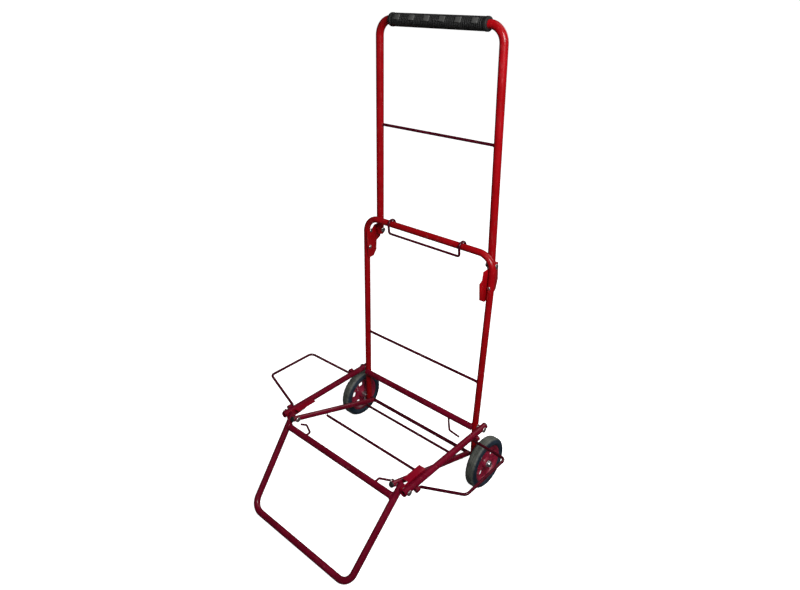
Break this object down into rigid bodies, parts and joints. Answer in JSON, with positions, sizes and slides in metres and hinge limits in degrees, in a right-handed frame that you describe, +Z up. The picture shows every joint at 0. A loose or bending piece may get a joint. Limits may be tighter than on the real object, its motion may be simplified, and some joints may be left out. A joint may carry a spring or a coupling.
{
  "type": "hand truck",
  "caption": "Folding luggage cart of bent red tube: two wheels, folding handle with a black grip, fold-up wire platform with side wings and a sloping foot.",
  "frame": {"origin": "on the floor, midway across and midway between the foot bar's front and the grip's back", "axes": "+Z up, -Y towards the platform and foot, +Y behind the cart, +X to the right of someone facing the cart from the front"},
  "size_m": [0.5772, 0.508, 0.9527],
  "materials": {
    "red_paint": "gloss",
    "red_wire": "gloss",
    "wheel_red": "satin",
    "zinc_steel": "satin",
    "rivet_steel": "satin",
    "grip_rubber": "matt",
    "tyre_rubber": "matt",
    "black_plastic": "satin",
    "grey_nylon": "satin"
  },
  "bodies": {
    "back_frame": {"axle": "red_wire", "axle_cap_l": "zinc_steel", "axle_cap_r": "zinc_steel", "axle_spacer_l": "zinc_steel", "axle_spacer_r": "zinc_steel", "back_cross_wire": "red_wire", "back_frame": "red_paint", "hinge_plate_l": "red_paint", "hinge_plate_r": "red_paint", "hinge_rivet_l_1": "rivet_steel", "hinge_rivet_l_2": "rivet_steel", "hinge_rivet_r_1": "rivet_steel", "hinge_rivet_r_2": "rivet_steel", "latch_wire": "red_wire", "platform_pin_l": "rivet_steel", "platform_pin_r": "rivet_steel", "rear_bar": "red_paint"},
    "handle": {"handle_cross_wire": "red_wire", "handle_grip": "grip_rubber", "handle_pin_l": "rivet_steel", "handle_pin_r": "rivet_steel", "handle_tube": "red_paint"},
    "bail": {"bail_wire": "red_wire"},
    "platform": {"corner_pin_l": "rivet_steel", "corner_pin_r": "rivet_steel", "corner_plate_l": "red_paint", "corner_plate_r": "red_paint", "rail_l": "red_paint", "rail_plug_l": "black_plastic", "rail_plug_r": "black_plastic", "rail_r": "red_paint", "wing_eye_front_l": "red_paint", "wing_eye_front_r": "red_paint", "wing_eye_rear_l": "red_paint", "wing_eye_rear_r": "red_paint"},
    "wing_l": {"wing_l": "red_wire"},
    "wing_r": {"wing_r": "red_wire"},
    "struts": {"strut_front_wire": "red_wire", "strut_l": "red_paint", "strut_plug_l": "black_plastic", "strut_plug_r": "black_plastic", "strut_r": "red_paint", "strut_rear_wire": "red_wire"},
    "foot": {"corner_wire_l": "red_wire", "corner_wire_r": "red_wire", "foot_tube": "red_paint", "front_bar": "red_paint"},
    "wheel_l": {"wheel_l": "wheel_red", "tyre_l": "tyre_rubber", "wheel_bush_l": "grey_nylon"},
    "wheel_r": {"wheel_r": "wheel_red", "tyre_r": "tyre_rubber", "wheel_bush_r": "grey_nylon"}
  },
  "joints": [
    {"name": "handle_fold", "type": "hinge", "parent": "back_frame", "child": "handle", "pos_m": [0, 0.2045, 0.5], "axis": [-1, 0, 0], "range_deg": [0, 178]},
    {"name": "bail_swing", "type": "hinge", "parent": "back_frame", "child": "bail", "pos_m": [0, 0.185, 0.5326], "axis": [1, 0, 0], "range_deg": [-80, 80]},
    {"name": "platform_fold", "type": "hinge", "parent": "back_frame", "child": "platform", "pos_m": [0, 0.138, 0.1407], "axis": [-1, 0, 0], "range_deg": [0, 87.5]},
    {"name": "strut_fold", "type": "hinge", "parent": "platform", "child": "struts", "pos_m": [0, -0.103, 0.1565], "axis": [1, 0, 0], "range_deg": [0, 13.5]},
    {"name": "foot_fold", "type": "hinge", "parent": "platform", "child": "foot", "pos_m": [0, -0.103, 0.1565], "axis": [1, 0, 0], "range_deg": [0, 88]},
    {"name": "wing_fold_r", "type": "hinge", "parent": "platform", "child": "wing_r", "pos_m": [0.1903, 0.138, 0.1407], "axis": [0, 0.9979, -0.0654], "range_deg": [0, 85]},
    {"name": "wing_fold_l", "type": "hinge", "parent": "platform", "child": "wing_l", "pos_m": [-0.1903, 0.138, 0.1407], "axis": [0, -0.9979, 0.0654], "range_deg": [0, 85]},
    {"name": "wheel_spin_l", "type": "hinge", "parent": "back_frame", "child": "wheel_l", "pos_m": [-0.1912, 0.1322, 0.0582], "axis": [1, 0, 0], "continuous": true},
    {"name": "wheel_spin_r", "type": "hinge", "parent": "back_frame", "child": "wheel_r", "pos_m": [0.1912, 0.1322, 0.0582], "axis": [1, 0, 0], "continuous": true}
  ],
  "couplings": [
    {"joint": "strut_fold", "follows": "platform_fold", "ratio": 0.15429},
    {"joint": "foot_fold", "follows": "platform_fold", "ratio": 1.0057}
  ]
}
